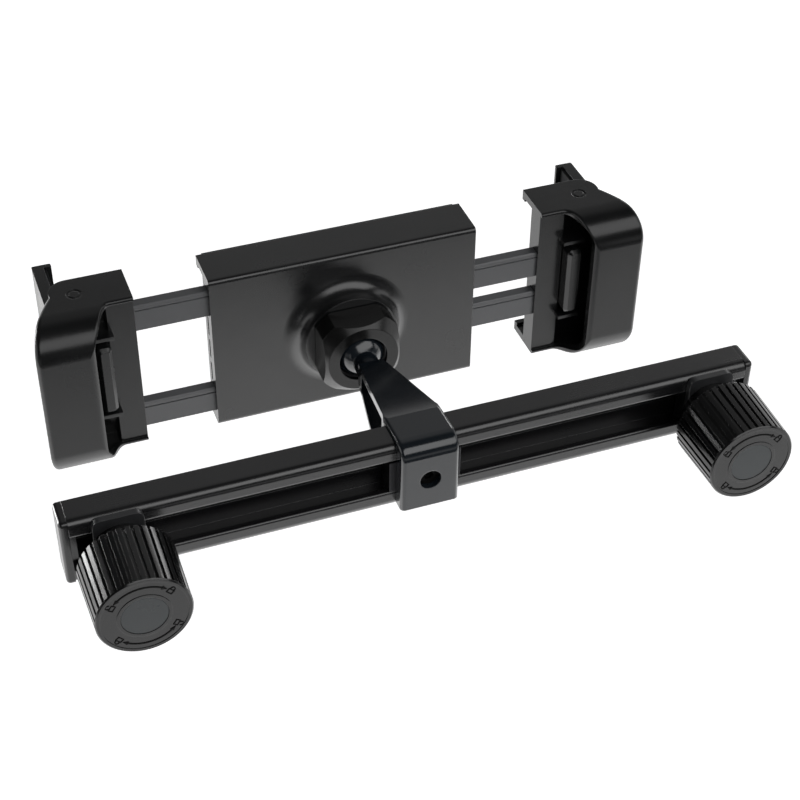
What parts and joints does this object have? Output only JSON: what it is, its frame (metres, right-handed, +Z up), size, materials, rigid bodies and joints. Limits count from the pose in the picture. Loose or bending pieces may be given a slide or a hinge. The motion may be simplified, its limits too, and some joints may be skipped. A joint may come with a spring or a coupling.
{
  "type": "headrest tablet mount",
  "caption": "Headrest mount for a tablet: slotted bar with sliding turn-knob clamps, ball-jointed arm and a tablet holder with spreading hook jaws.",
  "frame": {"origin": "centre of the bar that lies across the headrest posts", "axes": "+X along the bar, +Y from the knobs to the tablet, +Z up along the posts"},
  "size_m": [0.2122, 0.1329, 0.057],
  "materials": {
    "black_anodised": "satin black",
    "black_moulding": "fine satin grain",
    "black_gloss": "smooth semi-gloss",
    "blackened_steel": "blackened",
    "liner_grey": "smooth",
    "soft_rubber": "matt",
    "disc_slate": "satin"
  },
  "bodies": {
    "root": {"rail_bar": "black_anodised", "end_cap_left": "black_moulding", "end_cap_right": "black_moulding", "arm": "black_gloss", "arm_screw": "blackened_steel", "arm_key": "blackened_steel"},
    "rear_seat": {"ball_seat_rear": "liner_grey"},
    "front_seat": {"ball_seat_front": "liner_grey"},
    "head": {"housing_shell": "black_moulding", "back_plate": "black_moulding", "rail_brakes": "liner_grey", "plate_screws": "blackened_steel", "tablet_pad_upper": "soft_rubber", "tablet_pad_lower": "soft_rubber"},
    "nut": {"ball_nut": "black_gloss"},
    "left_slider": {"slot_bolt_left": "blackened_steel", "guard_plate_left": "black_moulding"},
    "left_grip": {"grip_washer_left": "soft_rubber"},
    "left_knob": {"knob_left": "black_gloss", "knob_disc_left": "disc_slate"},
    "left_jaw": {"rail_upper_left": "black_anodised", "rail_lower_left": "black_anodised", "jaw_shell_left": "black_moulding", "hook_left": "black_moulding", "hook_pad_left": "soft_rubber", "rail_screws_left": "blackened_steel", "hook_screws_left": "blackened_steel"},
    "right_slider": {"slot_bolt_right": "blackened_steel", "guard_plate_right": "black_moulding"},
    "right_grip": {"grip_washer_right": "soft_rubber"},
    "right_knob": {"knob_right": "black_gloss", "knob_disc_right": "disc_slate"},
    "right_jaw": {"rail_upper_right": "black_anodised", "rail_lower_right": "black_anodised", "jaw_shell_right": "black_moulding", "hook_right": "black_moulding", "hook_pad_right": "soft_rubber", "rail_screws_right": "blackened_steel", "hook_screws_right": "blackened_steel"}
  },
  "joints": [
    {"name": "head_yaw", "type": "hinge", "parent": "root", "child": "rear_seat", "pos_m": [0, 0.0555, 0], "axis": [0, 0, 1], "range_deg": [-20, 20]},
    {"name": "head_pitch", "type": "hinge", "parent": "rear_seat", "child": "front_seat", "pos_m": [0, 0.0555, 0], "axis": [1, 0, 0], "range_deg": [-20, 20]},
    {"name": "head_spin", "type": "hinge", "parent": "front_seat", "child": "head", "pos_m": [0, 0.0555, 0], "axis": [0, 1, 0], "continuous": true},
    {"name": "nut_turn", "type": "hinge", "parent": "head", "child": "nut", "pos_m": [0, 0.0555, 0], "axis": [0, -1, 0], "range_deg": [0, 90]},
    {"name": "left_slide", "type": "slide", "parent": "root", "child": "left_slider", "axis": [-1, 0, 0], "range_m": [-0.0652, 0.0046]},
    {"name": "left_grip_travel", "type": "slide", "parent": "left_slider", "child": "left_grip", "axis": [0, -1, 0], "range_m": [0, 0.008]},
    {"name": "left_turn", "type": "hinge", "parent": "left_grip", "child": "left_knob", "pos_m": [-0.0902, -0.02, 0], "axis": [0, -1, 0], "range_deg": [0, 1440]},
    {"name": "left_jaw_slide", "type": "slide", "parent": "head", "child": "left_jaw", "axis": [-1, 0, 0], "range_m": [-0.0231, 0.0211]},
    {"name": "right_slide", "type": "slide", "parent": "root", "child": "right_slider", "axis": [1, 0, 0], "range_m": [-0.0661, 0.0037]},
    {"name": "right_grip_travel", "type": "slide", "parent": "right_slider", "child": "right_grip", "axis": [0, -1, 0], "range_m": [0, 0.008]},
    {"name": "right_turn", "type": "hinge", "parent": "right_grip", "child": "right_knob", "pos_m": [0.0911, -0.02, 0], "axis": [0, -1, 0], "range_deg": [0, 1440]},
    {"name": "right_jaw_slide", "type": "slide", "parent": "head", "child": "right_jaw", "axis": [1, 0, 0], "range_m": [-0.0227, 0.0215]}
  ],
  "couplings": [
    {"joint": "left_grip_travel", "follows": "left_turn", "m_per_rad": 0.0003183},
    {"joint": "right_grip_travel", "follows": "right_turn", "m_per_rad": 0.0003183}
  ]
}
